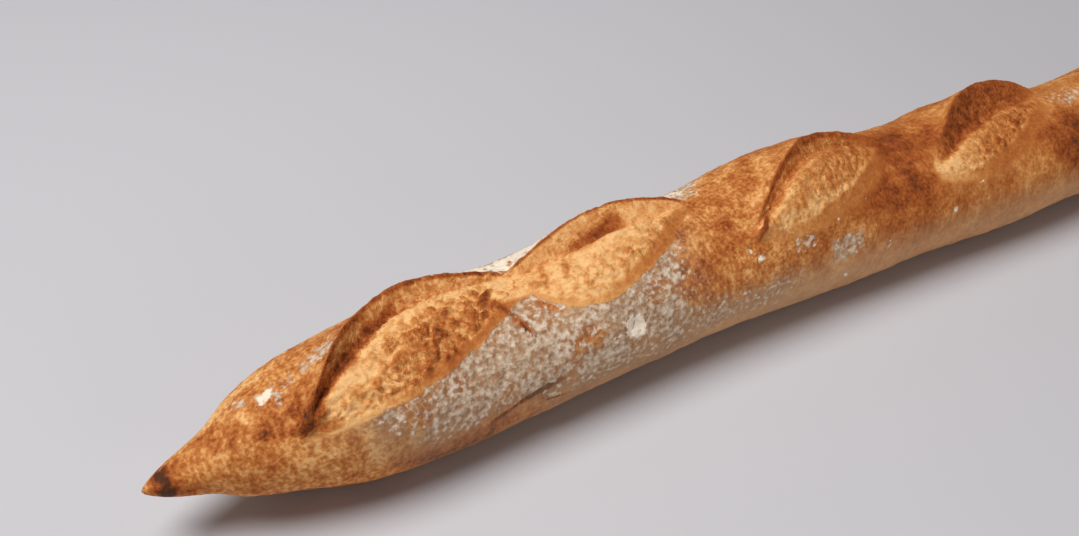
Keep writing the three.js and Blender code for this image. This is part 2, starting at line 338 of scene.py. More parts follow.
# Colours. Tones run from pale crumb to burnt crust.
TONES = [
    (0.0, (0.93, 0.54, 0.225)),
    (0.2, (0.78, 0.365, 0.12)),
    (0.4, (0.58, 0.212, 0.053)),
    (0.6, (0.44, 0.122, 0.026)),
    (0.8, (0.28, 0.062, 0.013)),
    (1.0, (0.09, 0.032, 0.014)),
]
PALE_COLOUR = (0.64, 0.385, 0.208)
# Greyish brown of thin flour over crust, partly painted shade between the grains and low on the flank.
FILM_AND_SHADE_COLOUR = (0.37, 0.21, 0.118)
FLOUR_COLOURS = [
    (0.38, (0.45, 0.282, 0.174)),
    (0.54, (0.605, 0.436, 0.299)),
    (0.7, (0.825, 0.67, 0.515)),
]
THICK_COLOUR = (0.97, 0.82, 0.65)

# Noise in the material, where squeeze makes it finer along the loaf, and how far it changes each look.
# Four numbers are a range of noise and the range that it turns into.
PATTERNS = dict(
    mottle=dict(size=3.8, detail=4, roughness=0.58, squeeze=1.5),
    fleck=dict(size=1.4, detail=2, roughness=0.5),
    fine=dict(size=1.2, detail=3, roughness=0.6),
    blotch=dict(size=11, detail=3, roughness=0.55),
    torn=dict(size=3.4, detail=5, roughness=0.68, distortion=0.2),
    strands=dict(size=6, detail=3, roughness=0.5, distortion=0.6, squeeze=1.5),
    cover=dict(size=2.0, detail=2, roughness=0.5),
)
STRANDS = dict(width=0.045, shows=(0.36, 0.56))
CRUST_CHANGE = dict(mottle=0.95, fleck=(0.34, 0.66, 0.1, -0.15), blotch=1.25, shift=0.02)
CRUMB_CHANGE = dict(torn=1.3, strands=-0.25, fine=0.5, fleck=0.3, shift=0.04)
PALE_SHOWS = (0.3, 0.65, 0.92, 0.7)
FILM_AND_SHADE_SHOWS = 0.8
FLOUR_COVER = dict(clumps=0.06, blotch=0.2)
FLOUR_SHOWS = dict(thin=-0.22, cover=(0.28, 0.54, 0, 0.92), dust=(0.02, 0.2))
THICK_SHOWS = dict(cover=2.4, between=(0.25, 0.85), first=(0, 0.2))
ROUGHNESS = (0.3, 0.7, 0.6, 0.85)
SPECULAR = 0.12
BUMP = dict(strength=0.7, depth=0.9)  # small bumps, in millimetres
CRUST_BUMP = dict(fleck=0.6)
# Torn and fine noise sink where they darken the crumb, so its small hollows carry painted shade.
CRUMB_BUMP = dict(torn=-1, strands=0.15, fine=-0.4, level=1.5)
FLOUR_BUMP = 0.3

# Floor, camera and lights. The camera is placed in millimetres from the loaf before its shift, and the
# floor and the lights in metres.
FLOOR_REACH = 3
FLOOR_COLOUR = (0.6, 0.585, 0.605)
FLOOR_ROUGHNESS = 0.8
FLOOR_SPECULAR = 0.2
CAMERA_AT = (-288.2, -298.5, 315.5)
CAMERA_AZIMUTH = 28.9
CAMERA_ELEVATION = 38
CAMERA_LENS = 40
CAMERA_SENSOR = 36
CAMERA_NEAREST = 0.01  # metres
KEY = dict(azimuth=79, elevation=69, distance=1.4, size=1.0, power=18.7)
FILL = dict(azimuth=185, elevation=12, distance=1.5, size=0.8, power=3.8)
SKY = (0.108, 0.108, 0.113)
PER_METRE = 1000  # millimetres


def bell(distance, reach):
    return np.exp(-((distance / reach) ** 2))


def smooth(value, low, high):
    """0 at low and 1 at high with an even ramp between, also where low is the larger."""
    share = np.clip((value - low) / (high - low), 0, 1)
    return share * share * (3 - 2 * share)


def blend(first, second, share):
    return first + (second - first) * share


def girth_of(angle):
    return GIRTH_RADIUS * np.radians(angle)


def section_at(station):
    """Size, centre and half axes of the plain section at each station."""
    from_tip = np.minimum(station, LENGTH - station)
    rounded = np.sqrt(from_tip * (from_tip + 2 * TIP_ROUNDING))
    narrowing = np.clip(1 - rounded / TAPER_LENGTH, 0, 1)
    size = 1 - narrowing**TAPER_POWER
    for neck in NECKS:
        size = size * (1 - neck["share"] * bell(station - neck["station"], neck["reach"]))
    top = size
    for slash in SLASHES:
        middle = (slash["start"][0] + slash["end"][0]) / 2
        top = top * (1 + slash["swell"] * bell(station - middle, SWELL_REACH))
    off_middle = 2 * station / LENGTH - 1
    return dict(
        size=size,
        y=TIP_RETURN * narrowing**2 - BEND * off_middle**2,
        z=WIDEST_AT - TIP_DROP * narrowing**2,
        half=WIDTH / 2 * size,
        above=(HEIGHT - WIDEST_AT) * top,
        below=UNDERSIDE * size,
    )


def cuts_at(station):
    """Girth distances of ear, foot of the wall and border at each station, and the relief there."""
    ends = [end for slash in SLASHES for end in (slash["start"], slash["end"])]
    knots = [end[0] for end in ends]
    ear = np.interp(station, knots, [girth_of(end[EAR]) for end in ends])
    border = np.interp(station, knots, [girth_of(end[BORDER]) for end in ends])
    none = np.zeros_like(station)
    cuts = dict.fromkeys(("strength", "height", "low", "crown", "wall", "position"), none)
    cuts["number"] = none - 1
    for number, slash in enumerate(SLASHES):
        first, last = slash["start"][0], slash["end"][0]
        inside = (station > first) & (station < last)
        position = np.clip(2 * (station - first) / (last - first) - 1, -1, 1)
        opening = (1 - position**2) ** OPENING_POWER
        back = slash["back"] * opening * (1 + slash["back_skew"] * position)
        front = slash["front"] * opening * (1 + slash["front_skew"] * position)
        ear = ear - np.where(inside, back, 0)
        border = border + np.where(inside, front, 0)
        risen = smooth((position + 1) / 2, 0, slash["full"])
        here = dict(
            strength=opening**RELIEF_POWER,
            height=risen * slash["ear"] * (1 + slash["ear_skew"] * position),
            low=risen * slash["foot"],
            crown=slash["crown"],
            wall=slash["wall"],
            position=position,
            number=number,
        )
        for name, value in here.items():
            cuts[name] = np.where(inside, value, cuts[name])
    cuts["ear"] = ear
    cuts["border"] = border
    cuts["foot"] = ear + np.minimum(cuts["wall"] * cuts["strength"], WALL_SHARE * (border - ear))
    return cuts


def cut_rise(cuts, girth):
    """Rise above the plain loaf that the slashes give at each girth distance."""
    ear, foot, border = cuts["ear"], cuts["foot"], cuts["border"]
    height, low = cuts["height"], cuts["low"]
    behind = height * np.exp(np.minimum(girth - ear, 0) / EAR_SLOPE)
    down = np.clip((girth - ear) / np.maximum(foot - ear, LEAST_GAP), 0, 1)
    wall = low + (height - low) * (1 - down) ** WALL_POWER
    crest = np.minimum(CREST, CREST_SHARE * (border - foot)) + LEAST_GAP
    below_crest = (1 - np.clip((girth - foot) / crest, 0, 1)) ** 2
    past_crest = (border - girth) / np.maximum(border - foot - crest, LEAST_GAP)
    past_crest = np.clip(past_crest, 0, 1) ** CREST_FALL
    bared = cuts["crown"] * (1 - below_crest) * past_crest + low * below_crest
    rise = np.select([girth < ear, girth < foot, girth < border], [behind, wall, bared], 0)
    return cuts["strength"] * (rise + RIM * bell(girth - border, RIM_REACH))


def crease_rise(station, girth):
    """Rise of the fold low on the front flank."""
    first, last = CREASE["start"], CREASE["end"]
    share = (station - first[0]) / (last[0] - first[0])
    fade = np.clip(1 - (2 * share - 1) ** 2, 0, 1)
    below = girth - girth_of(blend(first[1], last[1], share))
    edge = bell(below, CREASE["edge"])
    way_back = np.exp(-np.maximum(below, 0) / CREASE["reach"])
    return -CREASE["depth"] * fade * np.where(below < 0, edge, way_back)


def surface(station, girth, cuts):
    """Points of the smooth loaf, in millimetres."""
    angle = girth / GIRTH_RADIUS
    section = section_at(station)
    reach = np.where(np.cos(angle) > 0, section["above"], section["below"])
    normal_y = -reach * np.sin(angle)
    normal_z = section["half"] * np.cos(angle)
    length = np.maximum(np.hypot(normal_y, normal_z), TINY)
    normal_y, normal_z = normal_y / length, normal_z / length
    wave = np.sin(station / WAVE["length"] + 2 * angle) * np.cos(station / WAVE["slow_length"])
    rise = WAVE["height"] * section["size"] * wave
    for hump in HUMPS:
        aside = girth - girth_of(hump["angle"])
        rise = rise + hump["rise"] * bell(np.hypot(station - hump["station"], aside), hump["reach"])
    rise = rise + crease_rise(station, girth) + cut_rise(cuts, girth)
    lean = EAR_LEAN * cuts["strength"] * bell(girth - cuts["ear"], LEAN_REACH)
    y = section["y"] - section["half"] * np.sin(angle) + rise * normal_y - lean * normal_z
    z = section["z"] + reach * np.cos(angle) + rise * normal_z + lean * normal_y
    x = np.broadcast_to(station - LENGTH / 2, y.shape)
    return np.stack([x, y, np.maximum(z, 0)], -1)


def mesh_girths(station, cuts):
    """Girth distances of the mesh columns, in strips between the evened-out lines of the slashes."""
    near = [cuts_at(station + offset) for offset in range(-SMOOTHING, SMOOTHING + 1)]
    evened = {name: sum(cut[name] for cut in near) / len(near) for name in ("ear", "foot", "border")}
    foot = evened["foot"]
    border = np.maximum(evened["border"], foot + LEAST_CRUMB)
    ear = np.minimum(evened["ear"], foot - LEAST_WALL)
    under = np.full_like(station, math.pi * GIRTH_RADIUS)
    base = np.full_like(station, BASE_EDGE)
    bounds = [under, base, border, foot, ear, ear - NAPE, -under]
    share = np.linspace(0, 1, FINE_STEPS)
    girths = []
    for first, last, (name, count) in zip(bounds, bounds[1:], COLUMNS.items()):
        fine = blend(first, last, share)
        points = surface(station, fine, cuts)
        steps = np.linalg.norm(np.diff(points, axis=1), axis=2) + TINY
        reached = np.concatenate([np.zeros_like(station), np.cumsum(steps, axis=1)], axis=1)
        targets = (np.arange(count) / count) ** SPACING[name]
        girths.append(np.array([np.interp(targets * r[-1], r, g) for r, g in zip(reached, fine)]))
    return np.concatenate(girths, axis=1)


def sampled(function, *coordinates):
    """A noise function at every vertex."""
    arrays = np.broadcast_arrays(*coordinates)
    places = zip(*(array.ravel().tolist() for array in arrays))
    return np.array([function(place) for place in places]).reshape(arrays[0].shape)


def clouds(points, size, octaves, seed):
    """Fractal noise of about -1 to 1 with features of the given size in millimetres."""
    x, y, z = np.moveaxis(points / size, -1, 0)
    x = x + SEED_STEP * seed
    return sampled(lambda place: noise.fractal(place, *CLOUD_NOISE, octaves), x, y, z)


def ragged(station, amount, size, seed):
    """Noise along the loaf, for the edges of the slashes."""
    line = (station / size, EDGE_SEED_STEP * seed, EDGE_SLICE)
    return amount * sampled(lambda place: noise.fractal(place, *EDGE_NOISE), *line)


def torn_strands(along, around):
    """Ridges of torn crumb, about -1 to 1, from distances in sizes of a strand."""
    plane = (along, around, STRAND_SLICE)
    ridges = sampled(lambda place: noise.ridged_multi_fractal(place, *STRAND_NOISE), *plane)
    return ridges - ridges.mean()


def torn_pits(along, around):
    """Small bubbles torn open: 1 inside a bubble and 0 on the crumb between."""
    plane = (along / PIT_SIZE[0], around / PIT_SIZE[1], PIT_SLICE)
    return smooth(sampled(lambda place: noise.fractal(place, *PIT_NOISE), *plane), *PIT_EDGE)


def spot(station, girth, area):
    """1 at the middle of an oval spot, fading to 0 past its edge."""
    along = (station - area["at"][0]) / area["size"][0]
    around = (girth - area["at"][1]) / area["size"][1]
    return np.exp(-(np.hypot(along, around) ** EDGE_POWER))


def streak(station, girth, line):
    """1 along a tear or streak, fading to 0 beside it and narrowing to its ends."""
    (s0, g0), (s1, g1) = line["start"], line["end"]
    length = math.hypot(s1 - s0, g1 - g0)
    along = ((station - s0) * (s1 - s0) + (girth - g0) * (g1 - g0)) / length**2
    beside = ((station - s0) * (g1 - g0) - (girth - g0) * (s1 - s0)) / length
    taper = np.sqrt(np.clip(4 * along * (1 - along), 0, 1))
    width = line["width"] * blend(STREAK_ENDS, 1, taper)
    return taper * np.exp(-(np.abs(beside / width) ** EDGE_POWER))


def outward(points):
    """Unit normals of the grid of points, pointing out of the loaf."""
    along = np.gradient(points, axis=0)
    around = np.roll(points, -1, axis=1) - np.roll(points, 1, axis=1)
    normal = np.cross(around, along)
    return normal / (np.linalg.norm(normal, axis=2, keepdims=True) + TINY)


def of_slash(cuts, name, share=None):
    """A value of CRUMBS for the slash at each vertex, or what lies between a pair of them by share."""
    values = np.array([crumb[name] for crumb in CRUMBS])
    here = values[np.clip(cuts["number"], 0, len(CRUMBS) - 1).astype(int)]
    return here if share is None else blend(here[..., 0], here[..., 1], share)


def slash_masks(station, girth, cuts, along):
    """Where crumb, wall and the lip of the ear show, and the share of the way from foot to border."""
    ear, foot, border = cuts["ear"], cuts["foot"], cuts["border"]
    opened = smooth(cuts["strength"], *OPENS) * smooth(along, 1, 1 - of_slash(cuts, "fade"))
    half_soft = of_slash(cuts, "soft", along) / 2
    inside = smooth(girth, ear - EAR_EDGE, ear + EAR_EDGE)
    inside = inside * smooth(girth, border + half_soft, border - half_soft)
    bridge = smooth(spot(station, girth, BRIDGE), *BRIDGE["edge"])
    lip = of_slash(cuts, "lip")
    lip_ends = smooth(girth - ear, LIP_END[0] * lip, LIP_END[1] * lip)
    return dict(
        share=np.clip((girth - foot) / np.maximum(border - foot, LEAST_SHOWN), 0, 1),
        crumb=np.maximum(inside * opened, bridge),
        wall=inside * opened * smooth(girth - foot, *WALL_EDGE),
        lip=opened * smooth(girth - ear, -LIP_EDGE, 0) * lip_ends,
        bridge=bridge,
    )


def lay_out():
    """The grid of vertices before its fine relief, with the slashes and the noise there."""
    even = np.linspace(0, 1, STATIONS + 1)
    crowded = (1 - np.cos(math.pi * even)) / 2
    station = LENGTH * blend(even, crowded, CROWDING)[:, None]
    station[0] = TIP_GAP
    station[-1] = LENGTH - TIP_GAP
    cuts = cuts_at(station)
    girth = mesh_girths(station, cuts)
    cuts["ear"] = cuts["ear"] + cuts["strength"] * ragged(station, **RAGGED_EAR)
    cuts["border"] = cuts["border"] + cuts["strength"] * ragged(station, **RAGGED_BORDER)
    cuts["height"] = cuts["height"] * (1 + ragged(station, **RAGGED_HEIGHT))
    points = surface(station, girth, cuts)
    shift = -(points[..., 1].min() + points[..., 1].max()) / 2
    points[..., 1] += shift

    grid = SimpleNamespace(girth=girth, cuts=cuts, points=points, shift=shift)
    grid.station = np.broadcast_to(station, girth.shape)
    grid.size = section_at(station)["size"]
    grid.inset = cuts["border"] - girth
    grid.lumps = clouds(points, **LUMPS)
    grid.grain = clouds(points, **GRAIN)
    grid.warp = WARP_REACH * clouds(points, **WARP)
    grid.wander = WANDER_REACH * clouds(points, **WANDER)
    grid.wander *= smooth(grid.inset, 0, WANDER_FADE["border"])
    grid.wander *= smooth(girth - cuts["ear"], 0, WANDER_FADE["ear"])
    grid.along = (cuts["position"] + 1) / 2
    turn = of_slash(cuts, "turn")
    grid.late = smooth(grid.along, turn[..., 0], turn[..., 1])
    grid.masks = slash_masks(grid.station, girth + grid.wander, cuts, grid.along)
    grid.band_width = of_slash(cuts, "band_width") * blend(BAND_START, 1, grid.late)
    grid.in_band = smooth(grid.inset, grid.band_width + BAND_EDGE, grid.band_width - BAND_EDGE)
    grid.wall_shows = smooth(grid.along - of_slash(cuts, "wall_from"), *WALL_STARTS)
    return grid


def crumb_relief(grid):
    """Height of the torn crumb, in millimetres."""
    station = grid.station + grid.warp
    apart = of_slash(grid.cuts, "strand_size")
    strands = torn_strands(station / apart[..., 0], (grid.girth + grid.warp) / apart[..., 1])
    pits = torn_pits(station, grid.girth - grid.warp)
    rise = of_slash(grid.cuts, "strands", grid.late) * strands + CRUMB_GRAIN_RISE * grid.grain
    rise = rise - of_slash(grid.cuts, "pits", grid.late) * pits
    rise = rise * blend(FOOT_RELIEF["least"], 1, smooth(grid.masks["share"], *FOOT_RELIEF["between"]))
    rise = rise * smooth(grid.inset, grid.band_width - BAND_RELIEF, grid.band_width + BAND_RELIEF)
    return rise * (1 - WALL_CALMING * grid.masks["wall"])


def tear_masks(grid):
    bent = TEAR_WARP * grid.warp
    station = grid.station + bent + TEAR_GRAIN * grid.grain
    girth = grid.girth + bent - TEAR_GRAIN * grid.grain
    return [streak(station, girth, tear) for tear in TEARS_WITH_PAINTED_SHADE]


def wall_tone(grid):
    """Tone of the wall, with painted shade darkening its foot at the start of a slash."""
    ear, foot = grid.cuts["ear"], grid.cuts["foot"]
    turned = smooth(grid.along, *WALL_TURN)
    down = (grid.girth - ear) / np.maximum(foot - ear, LEAST_SHOWN)
    tone = of_slash(grid.cuts, "wall", turned) + WALL_GRAIN_TONE * grid.grain
    return tone + of_slash(grid.cuts, "groove") * smooth(down, *GROOVE_SHADE) * (1 - turned)


def crumb_tone(grid, crumb_rise):
    """Tone of the bared crumb and of the wall above it."""
    crest, front = (of_slash(grid.cuts, name, grid.late) for name in ("crest", "front"))
    tone = blend(crest, front, smooth(grid.masks["share"], *CREST_TO_FRONT))
    tone = tone + of_slash(grid.cuts, "band", grid.late) * grid.in_band
    tone = blend(tone, BRIDGE["tone"], grid.masks["bridge"])
    past_crest = grid.girth + grid.wander - grid.cuts["foot"] - CREST
    tone = tone - of_slash(grid.cuts, "ridge") * bell(past_crest, RIDGE)
    # painted shade in the hollows of the crumb and painted light on its raised parts
    tone = tone - DEPTH_SHADE_TONE * np.clip(crumb_rise, -DEEPEST, DEEPEST)
    on_wall = grid.masks["wall"] * (1 - grid.masks["bridge"]) * grid.wall_shows
    return blend(tone, wall_tone(grid), on_wall)


def loaf_tone(grid, crumb_rise, tears):
    """Tone of crust and crumb, from 0, pale, to 1, burnt."""
    tone = CRUST_TONE + LUMPS_TONE * grid.lumps
    for area in BAKED_SHADED_AND_LIT:
        tone = tone + area["change"] * spot(grid.station, grid.girth, area)
    tone = blend(tone, crumb_tone(grid, crumb_rise), grid.masks["crumb"])
    # painted highlight: a pale line along the border
    rim = of_slash(grid.cuts, "rim")
    on_rim = bell(rim[..., 0] - grid.inset, RIM_HIGHLIGHT_LINE)
    tone = tone - rim[..., 1] * grid.cuts["strength"] * on_rim
    # dark band along the ear: burnt edge and painted shade under the lip
    tone = blend(tone, LIP_BURN_AND_SHADE_TONE, grid.masks["lip"] * grid.wall_shows)
    station = grid.station + DARK_STREAK_WARP[0] * grid.warp
    girth = grid.girth + DARK_STREAK_WARP[1] * grid.warp
    # darker streaks, two of them painted shade in the grooves
    for dark_streak in SCORCHES_AND_GROOVE_SHADE:
        tone = blend(tone, dark_streak["tone"], streak(station, girth, dark_streak))
    # dark tones of the tears; at the fold and at one crack they are painted shade
    for tear, mask in zip(TEARS_WITH_PAINTED_SHADE, tears):
        tone = blend(tone, tear["tone"], mask)
    return tone


def pale_sides(grid, tears):
    """How far the paler colour of the low sides shows."""
    grown = blend(PALE["least"], 1, smooth(grid.station, *PALE["first"]))
    pale = grown * smooth(grid.girth, *PALE["front"]) + smooth(grid.girth, *PALE["back"])
    pale = np.clip(pale, 0, 1) * (1 - PALE["loss"] * smooth(grid.station, *PALE["far"]))
    # less pale below the fold: painted shade near the floor
    pale = pale * (1 - BROWN_AND_SHADED_PLACE["share"] * spot(grid.station, grid.girth, BROWN_AND_SHADED_PLACE))
    for mask in tears:
        pale = pale * (1 - PALE_LOSS_IN_TEARS * mask)
    return pale


def lengthways(area, station, near_station):
    """1 along a floured area, fading at its near end and its far end."""
    return smooth(near_station, *area["first"]) * smooth(station, *area["last"][::-1])


def floured_flank(station, girth, cuts, further=0, lower=0):
    """1 on the dusted flank in front of the slashes, or on one that reaches further."""
    sloped = station + further - FLOURED["slope"] * (girth - FLOURED["slope_from"])
    flank = lengthways(FLOURED, station, sloped) * smooth(girth - lower, *FLOURED["low"][::-1])
    flank = flank * smooth(girth - cuts["border"], *FLOUR_EDGE["border"])
    return flank * smooth(girth, *FLOUR_EDGE["top"])


def flour_shares(station, girth, cuts, patchiness):
    """How thickly flour lies at each place: as a thin darker dusting, partly painted shade, and as dust
    with its patches.
    """
    band = FLOUR_BAND["share"] * lengthways(FLOUR_BAND, station, station)
    band = band * bell(girth - FLOUR_BAND["at"], FLOUR_BAND["reach"])
    back = FLOUR_BACK["share"] * lengthways(FLOUR_BACK, station, station)
    back = back * smooth(girth, *FLOUR_BACK["top"]) * smooth(girth, *FLOUR_BACK["low"])
    other = np.maximum(band, back)
    uneven = blend(UNEVEN_FLOUR["least"], 1, smooth(patchiness, *UNEVEN_FLOUR["between"]))
    for gap in (FLOUR_GAP, BROWN_AND_SHADED_PLACE):
        uneven = uneven * (1 - gap["share"] * spot(station, girth, gap))
    film_and_shade = np.maximum(floured_flank(station, girth, cuts, *FILM_AND_SHADE_SPREAD), other) * uneven
    share = np.maximum(floured_flank(station, girth, cuts), other) * uneven
    for patch in FLOUR_PATCHES:
        shifted = RAGGED_PATCH * patch["size"][0] * patchiness
        share = np.maximum(share, patch["share"] * spot(station + shifted, girth + shifted, patch))
    for at in FLOUR_CRUMBS:
        share = np.maximum(share, FLOUR_CRUMB["share"] * spot(station, girth, dict(FLOUR_CRUMB, at=at)))
    return film_and_shade, share


def flour_on(grid, tears):
    """What the flour shows at each vertex, and how far it rises."""
    station = grid.station + FLOUR_GRAIN * grid.grain
    girth = grid.girth + FLOUR_GRAIN * np.roll(grid.grain, GRAIN_ROLL, axis=1)
    crust = 1 - np.maximum(smooth(grid.masks["crumb"], *BARE), np.max(tears, axis=0))
    film_and_shade, share = flour_shares(station, girth, grid.cuts, clouds(grid.points, **PATCHINESS))
    dust = smooth(share * crust, 0, 1)
    clumps = dust * smooth(clouds(grid.points, **CLUMPS), *CLUMP_EDGE)
    rise = CLUMP_RISE * clumps + FLOUR_LUMP["rise"] * spot(station, girth, FLOUR_LUMP)
    return dict(film_and_shade=film_and_shade * crust, dust=dust, flour=clumps, thick=smooth(share * crust, *THICK)), rise


def build_loaf():
    """Points of the fine loaf, what each vertex shows, and the shift to the frame's origin."""
    grid = lay_out()
    crumb = grid.masks["crumb"]
    crumb_rise = crumb_relief(grid)
    tears = tear_masks(grid)
    flour, flour_rise = flour_on(grid, tears)
    rise = blend(LUMPS_RISE * grid.lumps + GRAIN_RISE * grid.grain, crumb_rise, crumb)
    for tear, mask in zip(TEARS_WITH_PAINTED_SHADE, tears):
        rise = rise - tear["depth"] * mask
    rise = (rise + flour_rise) * smooth(grid.size, *TIP_CALMING)
    points = grid.points + outward(grid.points) * rise[..., None]
    points[..., 2] = np.maximum(points[..., 2], 0)
    shows = dict(
        tone=loaf_tone(grid, crumb_rise, tears),
        crumb=crumb,
        torn=of_slash(grid.cuts, "torn") * crumb * (1 - BAND_CALMING * grid.in_band),
        pale=pale_sides(grid, tears),
        **flour,
        fleck=1 - CALM_CRUST["loss"] * smooth(grid.station, *CALM_CRUST["far"]),
    )
    return points, shows, grid.shift


def mesh_object(name, points, faces, shows):
    """A smooth mesh from points in millimetres, with float attributes for its material."""
    mesh = bpy.data.meshes.new(name)
    mesh.from_pydata((points.reshape(-1, 3) / PER_METRE).tolist(), [], faces)
    for attribute, values in shows.items():
        layer = mesh.attributes.new(attribute, "FLOAT", "POINT")
        layer.data.foreach_set("value", np.clip(values, 0, 1).astype(np.float32).ravel())
    mesh.polygons.foreach_set("use_smooth", np.ones(len(mesh.polygons), bool))
    mesh.update()
    piece = bpy.data.objects.new(name, mesh)
    bpy.context.scene.collection.objects.link(piece)
    return piece


def add_loaf(points, shows):
    rows, columns = points.shape[:2]
    index = np.arange(rows * columns).reshape(rows, columns)
    after = np.roll(index, -1, axis=1)
    quads = np.stack([index[:-1], after[:-1], after[1:], index[1:]], -1).reshape(-1, 4)
    tips = [index[0][::-1].tolist(), index[-1].tolist()]
    loaf = mesh_object("loaf", points, quads.tolist() + tips, shows)
    loaf.data.materials.append(bread_material())
    return loaf


class Nodes:
    """Short ways to add and join shader nodes."""

    def __init__(self, name):
        self.material = bpy.data.materials.new(name)
        self.material.use_nodes = True
        self.tree = self.material.node_tree
        self.shader = self.tree.nodes["Principled BSDF"]

    def add(self, kind, **settings):
        node = self.tree.nodes.new(kind)
        for key, value in settings.items():
            setattr(node, key, value)
        return node

    def join(self, source, target):
        self.tree.links.new(source, target)

    def place(self, *stretch):
        """The place on the object, with each axis multiplied."""
        node = self.add("ShaderNodeVectorMath", operation="MULTIPLY")
        self.join(self.add("ShaderNodeTexCoord").outputs["Object"], node.inputs[0])
        node.inputs[1].default_value = stretch
        return node.outputs[0]

    def attribute(self, name):
        return self.add("ShaderNodeAttribute", attribute_name=name).outputs["Fac"]

    def math(self, operation, first, second=0.0):
        node = self.add("ShaderNodeMath", operation=operation)
        for socket, value in zip(node.inputs, (first, second)):
            if isinstance(value, (int, float)):
                socket.default_value = value
            else:
                self.join(value, socket)
        return node.outputs[0]

    def times(self, first, second):
        return self.math("MULTIPLY", first, second)

    def total(self, first, *others):
        for other in others:
            first = self.math("ADD", first, other)
        return first

    def swing(self, value, amount):
        """A noise value of about 0.5, turned into a swing around 0."""
        return self.times(self.math("SUBTRACT", value, 0.5), amount)

    def spread(self, value, low, high, to_low=0.0, to_high=1.0):
        """A range of values turned into another with a soft ramp."""
        node = self.add("ShaderNodeMapRange", interpolation_type="SMOOTHSTEP")
        self.join(value, node.inputs["Value"])
        limits = {"From Min": low, "From Max": high, "To Min": to_low, "To Max": to_high}
        for key, limit in limits.items():
            node.inputs[key].default_value = limit
        return node.outputs[0]

    def noise(self, size, detail, roughness, distortion=0, squeeze=1):
        """Noise with features of about the given size in millimetres."""
        node = self.add("ShaderNodeTexNoise")
        self.join(self.place(squeeze, 1, 1), node.inputs["Vector"])
        node.inputs["Scale"].default_value = PER_METRE / size
        node.inputs["Detail"].default_value = detail
        node.inputs["Roughness"].default_value = roughness
        node.inputs["Distortion"].default_value = distortion
        return node.outputs["Fac"]

    def veins(self, value, width):
        """1 along the lines where a noise value crosses its middle, 0 beside them."""
        return self.spread(self.math("ABSOLUTE", self.swing(value, 1)), 0, width, 1, 0)

    def blend(self, share, first, second):
        """A number between two, by share."""
        node = self.add("ShaderNodeMix", data_type="FLOAT")
        for socket, value in zip(node.inputs[:1] + node.inputs[2:4], (share, first, second)):
            self.join(value, socket)
        return node.outputs[0]

    def ramp(self, value, stops):
        node = self.add("ShaderNodeValToRGB")
        self.join(value, node.inputs[0])
        elements = node.color_ramp.elements
        while len(elements) < len(stops):
            elements.new(0.5)
        for element, (at, colour) in zip(elements, stops):
            element.position = at
            element.color = (*colour, 1)
        return node.outputs[0]

    def mix(self, share, first, second):
        """A colour between two, by share."""
        node = self.add("ShaderNodeMix", data_type="RGBA")
        self.join(share, node.inputs["Factor"])
        for socket, value in ((node.inputs[6], first), (node.inputs[7], second)):
            if isinstance(value, tuple):
                socket.default_value = (*value, 1)
            else:
                self.join(value, socket)
        return node.outputs[2]

    def bump(self, height, strength, depth):
        node = self.add("ShaderNodeBump")
        node.inputs["Strength"].default_value = strength
        node.inputs["Distance"].default_value = depth / PER_METRE
        self.join(height, node.inputs["Height"])
        self.join(node.outputs[0], self.shader.inputs["Normal"])


def crust_change(n, noises):
    """Change of tone on the crust: mottled, flecked and blotchy."""
    mottle = n.swing(noises.mottle, CRUST_CHANGE["mottle"])
    fleck = n.spread(noises.fleck, *CRUST_CHANGE["fleck"])
    blotch = n.swing(noises.blotch, CRUST_CHANGE["blotch"])
    return n.times(n.total(mottle, fleck, blotch, CRUST_CHANGE["shift"]), n.attribute("fleck"))


def crumb_change(n, noises):
    """Change of tone in the crumb: torn, with thin strands."""
    torn = n.swing(noises.torn, CRUMB_CHANGE["torn"])
    strands = n.times(noises.strands, CRUMB_CHANGE["strands"])
    fine = n.swing(noises.fine, CRUMB_CHANGE["fine"])
    texture = n.times(n.total(torn, strands, fine), n.attribute("torn"))
    return n.total(texture, n.swing(noises.fleck, CRUMB_CHANGE["fleck"]), CRUMB_CHANGE["shift"])


def flour_cover(n, noises):
    """How densely the grains of flour lie, by clumps and blotches."""
    clumps = n.swing(n.attribute("flour"), FLOUR_COVER["clumps"])
    return n.total(noises.cover, clumps, n.swing(noises.blotch, FLOUR_COVER["blotch"]))


def flour_lies(n, cover):
    """Where grains of flour hide the crust."""
    dust = n.attribute("dust")
    dense = n.total(cover, n.spread(dust, 0, 1, FLOUR_SHOWS["thin"], 0))
    return n.times(n.spread(dense, *FLOUR_SHOWS["cover"]), n.spread(dust, *FLOUR_SHOWS["dust"]))


def flour_heaped(n, cover):
    """Where flour lies thick and white."""
    thick = n.attribute("thick")
    heaped = n.total(thick, n.swing(cover, THICK_SHOWS["cover"]))
    return n.times(n.spread(heaped, *THICK_SHOWS["between"]), n.spread(thick, *THICK_SHOWS["first"]))


def bread_height(n, noises, crumb, lies):
    """Height of the small bumps."""
    crust_height = n.total(noises.mottle, n.times(noises.fleck, CRUST_BUMP["fleck"]))
    crumb_height = n.total(
        n.times(noises.torn, CRUMB_BUMP["torn"]),
        n.times(noises.strands, CRUMB_BUMP["strands"]),
        n.times(noises.fine, CRUMB_BUMP["fine"]),
        CRUMB_BUMP["level"],
    )
    return n.total(n.blend(crumb, crust_height, crumb_height), n.times(lies, FLOUR_BUMP))


